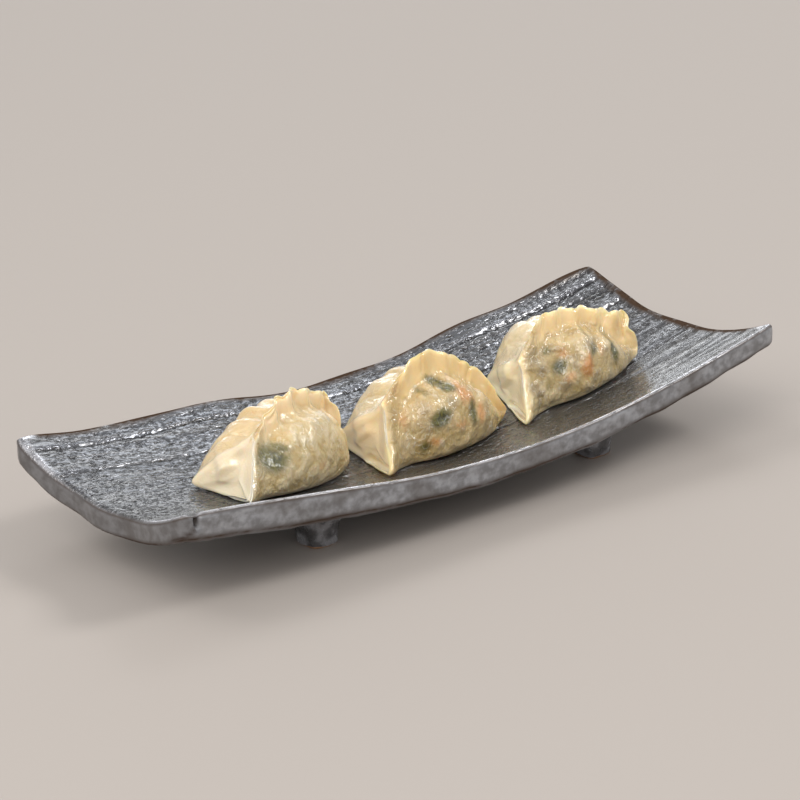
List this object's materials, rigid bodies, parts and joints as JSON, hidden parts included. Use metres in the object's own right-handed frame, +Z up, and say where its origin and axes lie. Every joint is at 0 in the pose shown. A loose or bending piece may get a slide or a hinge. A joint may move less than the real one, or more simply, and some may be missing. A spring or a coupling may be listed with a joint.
{
  "type": "dumpling plate",
  "caption": "Long curved stoneware serving plate on stub feet, with pleated steamed dumplings laid along it in a row.",
  "frame": {"origin": "on the table, under the middle of the plate's outline", "axes": "+X along the plate towards its higher end, +Y towards the long side behind the dumplings' folded crests, +Z up"},
  "size_m": [0.2802, 0.1096, 0.0549],
  "materials": {
    "glazed_stoneware": "dark gunmetal glaze over rough stoneware, satin",
    "steamed_dough_left": "wet translucent steamed dough over a pale green and cream filling",
    "steamed_dough_middle": "wet translucent steamed dough over a green and orange filling",
    "steamed_dough_right": "wet translucent steamed dough over an orange and green filling"
  },
  "bodies": {
    "root": {"plate": "glazed_stoneware", "dumpling_left": "steamed_dough_left", "dumpling_middle": "steamed_dough_middle", "dumpling_right": "steamed_dough_right"}
  },
  "joints": []
}
